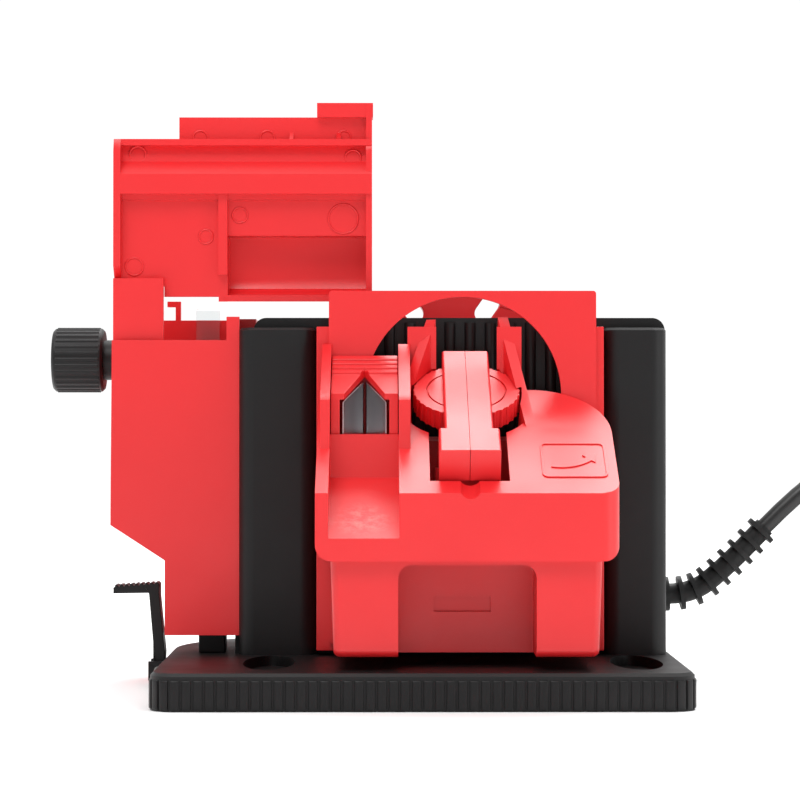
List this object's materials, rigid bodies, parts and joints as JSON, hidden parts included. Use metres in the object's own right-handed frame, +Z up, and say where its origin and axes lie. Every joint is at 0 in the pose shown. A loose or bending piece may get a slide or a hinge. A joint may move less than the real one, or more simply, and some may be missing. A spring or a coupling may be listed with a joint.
{
  "type": "drill bit sharpener",
  "caption": "Bench sharpener with a motor housing on a flat base, a sloping drill bit station in front, a side wheel box with a tilting tool guide, and a mains lead.",
  "frame": {"origin": "middle of the object's underside, on the surface it stands on, without the loose part of its lead", "axes": "+Z up, +X to the right seen from the drill bit station, +Y away from that station to the rear"},
  "size_m": [0.4293, 0.2705, 0.2335],
  "materials": {
    "red_abs": "moulded ABS, satin",
    "black_abs": "moulded ABS, fine spark texture",
    "black_rubber": "matt",
    "steel": "brushed",
    "switch_plastic": "gloss",
    "clear_plastic": "clear moulded plastic",
    "abrasive": "aluminium oxide grit"
  },
  "bodies": {
    "base": {"base_feet": "black_rubber", "base_plate": "black_abs", "bearing_left": "steel", "bearing_middle": "steel", "bearing_pedestal": "black_abs", "bearing_right": "steel", "box_foot": "black_abs", "box_screws": "steel", "carrier": "red_abs", "cord_coil": "black_rubber", "cord_lead": "black_rubber", "cord_tail": "black_rubber", "front_shell": "black_abs", "gauge_cap": "red_abs", "gauge_jaw_left": "steel", "gauge_jaw_right": "steel", "guide_nut": "steel", "guide_plate": "red_abs", "head_cover": "red_abs", "knife_guide": "red_abs", "knob_spindle": "steel", "lever_pin": "steel", "motor_can": "steel", "motor_cradles": "black_abs", "motor_end_plate": "steel", "plug": "black_rubber", "rear_shell": "black_abs", "shell_screws": "steel", "spark_shield": "clear_plastic", "spindle_bracket": "red_abs", "station_box": "red_abs", "strain_relief": "black_rubber", "switch_frame": "black_abs", "wheel_box": "red_abs"},
    "release_lever": {"foot_lever": "black_abs"},
    "tool_guide": {"tool_guide": "red_abs"},
    "guide_knob": {"guide_knob": "black_abs", "guide_stud": "steel"},
    "clamp_knob": {"clamp_knob": "red_abs"},
    "holder_left": {"holder_half_left": "red_abs"},
    "holder_right": {"holder_half_right": "red_abs"},
    "rotor": {"motor_shaft": "steel", "armature": "steel", "cooling_fan": "black_abs", "side_wheel": "abrasive", "drill_wheel": "abrasive", "wheel_nut": "steel", "wheel_flanges": "steel"},
    "rocker": {"switch_rocker": "switch_plastic"}
  },
  "joints": [
    {"name": "lever_press", "type": "hinge", "parent": "base", "child": "release_lever", "pos_m": [-0.1042, 0.007, 0.007], "axis": [0, -1, 0], "range_deg": [0, 12], "stiffness_Nm_per_rad": 0.25, "springref_deg": -20.05},
    {"name": "guide_tilt", "type": "hinge", "parent": "base", "child": "tool_guide", "pos_m": [-0.12, 0.023, 0.131], "axis": [-1, 0, 0], "range_deg": [0, 60]},
    {"name": "guide_knob_turn", "type": "hinge", "parent": "base", "child": "guide_knob", "pos_m": [-0.13, 0.023, 0.131], "axis": [1, 0, 0], "range_deg": [0, 270]},
    {"name": "clamp_knob_turn", "type": "hinge", "parent": "base", "child": "clamp_knob", "pos_m": [0.0176, -0.035, 0.118], "axis": [0, -0.4848, 0.8746], "range_deg": [0, 90]},
    {"name": "holder_left_open", "type": "slide", "parent": "base", "child": "holder_left", "axis": [-1, 0, 0], "range_m": [0, 0.0012]},
    {"name": "holder_right_open", "type": "slide", "parent": "base", "child": "holder_right", "axis": [1, 0, 0], "range_m": [0, 0.0012]},
    {"name": "rotor_spin", "type": "hinge", "parent": "base", "child": "rotor", "pos_m": [0, 0.032, 0.104], "axis": [1, 0, 0], "continuous": true},
    {"name": "switch_rock", "type": "hinge", "parent": "base", "child": "rocker", "pos_m": [0.0945, 0.052, 0.104], "axis": [0, 1, 0], "range_deg": [0, 16]}
  ],
  "couplings": [
    {"joint": "holder_left_open", "follows": "clamp_knob_turn", "m_per_rad": 0.00076},
    {"joint": "holder_right_open", "follows": "clamp_knob_turn", "m_per_rad": 0.00076}
  ]
}
